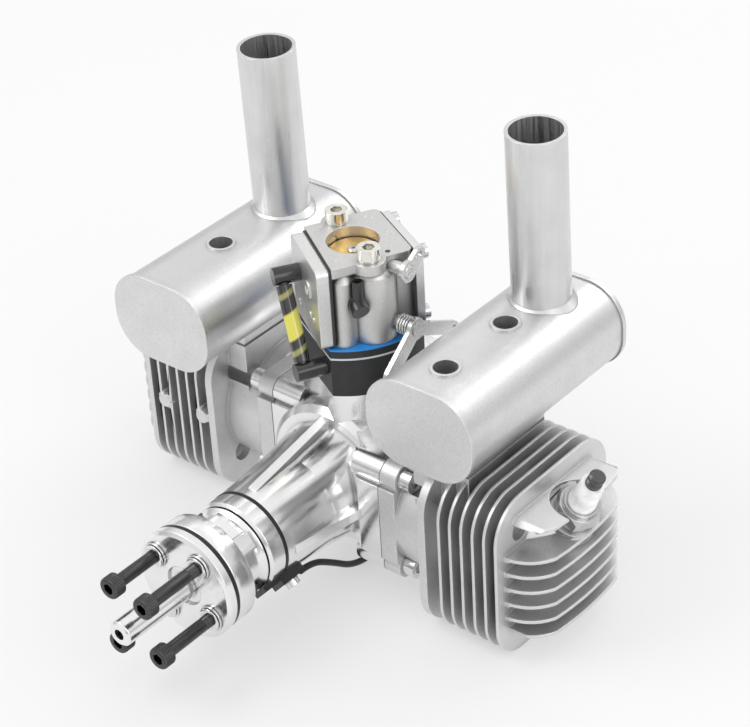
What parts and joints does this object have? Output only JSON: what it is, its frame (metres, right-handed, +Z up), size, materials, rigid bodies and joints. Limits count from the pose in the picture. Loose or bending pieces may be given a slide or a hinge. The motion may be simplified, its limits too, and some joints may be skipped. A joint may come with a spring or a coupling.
{
  "type": "flat twin aircraft engine",
  "caption": "Flat twin two-stroke model aircraft petrol engine with opposed finned cylinders, side mufflers with upright stacks, diaphragm carburettor, propeller hub and sensor lead.",
  "frame": {"origin": "on the crankshaft axis, midway between the two cylinder axes along it", "axes": "+X along the right cylinder, outwards; -Y along the crankshaft towards the propeller; +Z up, the way the mufflers and carburettor stand"},
  "size_m": [0.235, 0.2454, 0.1749],
  "materials": {
    "crankcase_metal": "machined and polished",
    "cover_metal": "machined",
    "cylinder_metal": "satin cast with bright fin edges",
    "muffler_metal": "bead blasted",
    "stack_metal": "brushed",
    "steel": "ground",
    "piston_metal": "turned",
    "hub_metal": "turned and polished",
    "black_bolt": "black oxide",
    "plated_steel": "bright nickel",
    "gold_zinc": "yellow zinc",
    "cover_screw_steel": "bright",
    "carb_metal": "as cast",
    "carb_cover_metal": "pressed",
    "brass": "passivated gold",
    "lever_steel": "zinc plated",
    "black_plastic": "moulded",
    "reed_plastic": "moulded",
    "blue_gasket": "silicone coated paper",
    "gasket": "fibre",
    "plug_steel": "nickel plated",
    "ceramic": "glazed alumina",
    "plug_terminal": "dark",
    "elbow_plastic": "moulded",
    "hose": "translucent fuel hose",
    "lead_rubber": "soft"
  },
  "bodies": {
    "engine": {"crankcase": "crankcase_metal", "rear_cover": "cover_metal", "right_cylinder": "cylinder_metal", "left_cylinder": "cylinder_metal", "right_muffler": "muffler_metal", "left_muffler": "muffler_metal", "muffler_caps": "muffler_metal", "right_stack": "stack_metal", "left_stack": "stack_metal", "main_bearings": "steel", "base_screws": "plated_steel", "exhaust_screws": "plated_steel", "rear_cover_screws": "plated_steel", "sensor_screw": "plated_steel", "carb_screws": "gold_zinc", "cover_screws": "cover_screw_steel", "carb_body": "carb_metal", "pump_cover": "carb_cover_metal", "metering_cover": "carb_cover_metal", "throttle_spring": "lever_steel", "reed_block": "black_plastic", "insulator_plate": "black_plastic", "reed_valve": "reed_plastic", "intake_gaskets": "blue_gasket", "carb_gaskets": "gasket", "base_gaskets": "gasket", "exhaust_gaskets": "gasket", "nose_seal": "gasket", "right_plug_shell": "plug_steel", "left_plug_shell": "plug_steel", "right_plug_insulator": "ceramic", "left_plug_insulator": "ceramic", "right_plug_terminal": "plug_terminal", "left_plug_terminal": "plug_terminal", "fuel_elbow": "elbow_plastic", "pulse_elbows": "elbow_plastic", "ignition_sensor": "elbow_plastic", "lead_connector": "elbow_plastic", "pulse_hose": "hose", "sensor_lead": "lead_rubber", "lead_coil": "lead_rubber"},
    "crank": {"crankshaft": "steel", "prop_hub": "hub_metal", "front_washer": "hub_metal", "centre_stud": "hub_metal", "prop_bolts": "black_bolt", "bolt_washers": "plated_steel", "sensor_magnet": "steel"},
    "right_piston": {"right_piston": "piston_metal", "right_piston_rings": "steel", "right_wrist_pin": "steel"},
    "left_piston": {"left_piston": "piston_metal", "left_piston_rings": "steel", "left_wrist_pin": "steel"},
    "throttle": {"throttle_shaft": "lever_steel", "throttle_plate": "brass", "throttle_lever": "lever_steel"},
    "choke": {"choke_shaft": "lever_steel", "choke_plate": "brass", "choke_lever": "lever_steel"}
  },
  "joints": [
    {"name": "crank_spin", "type": "hinge", "parent": "engine", "child": "crank", "pos_m": [0, 0, 0], "axis": [0, 1, 0], "continuous": true},
    {"name": "right_piston_slide", "type": "slide", "parent": "engine", "child": "right_piston", "axis": [1, 0, 0], "range_m": [-0.028, 0]},
    {"name": "left_piston_slide", "type": "slide", "parent": "engine", "child": "left_piston", "axis": [-1, 0, 0], "range_m": [-0.028, 0]},
    {"name": "throttle_turn", "type": "hinge", "parent": "engine", "child": "throttle", "pos_m": [0, -0.0018, 0.064], "axis": [-1, 0, 0], "range_deg": [0, 75], "stiffness_Nm_per_rad": 0.02, "springref_deg": -17.19},
    {"name": "choke_turn", "type": "hinge", "parent": "engine", "child": "choke", "pos_m": [0, -0.0018, 0.0872], "axis": [1, 0, 0], "range_deg": [0, 75]}
  ],
  "couplings": [
    {"joint": "left_piston_slide", "follows": "right_piston_slide", "ratio": 1}
  ]
}
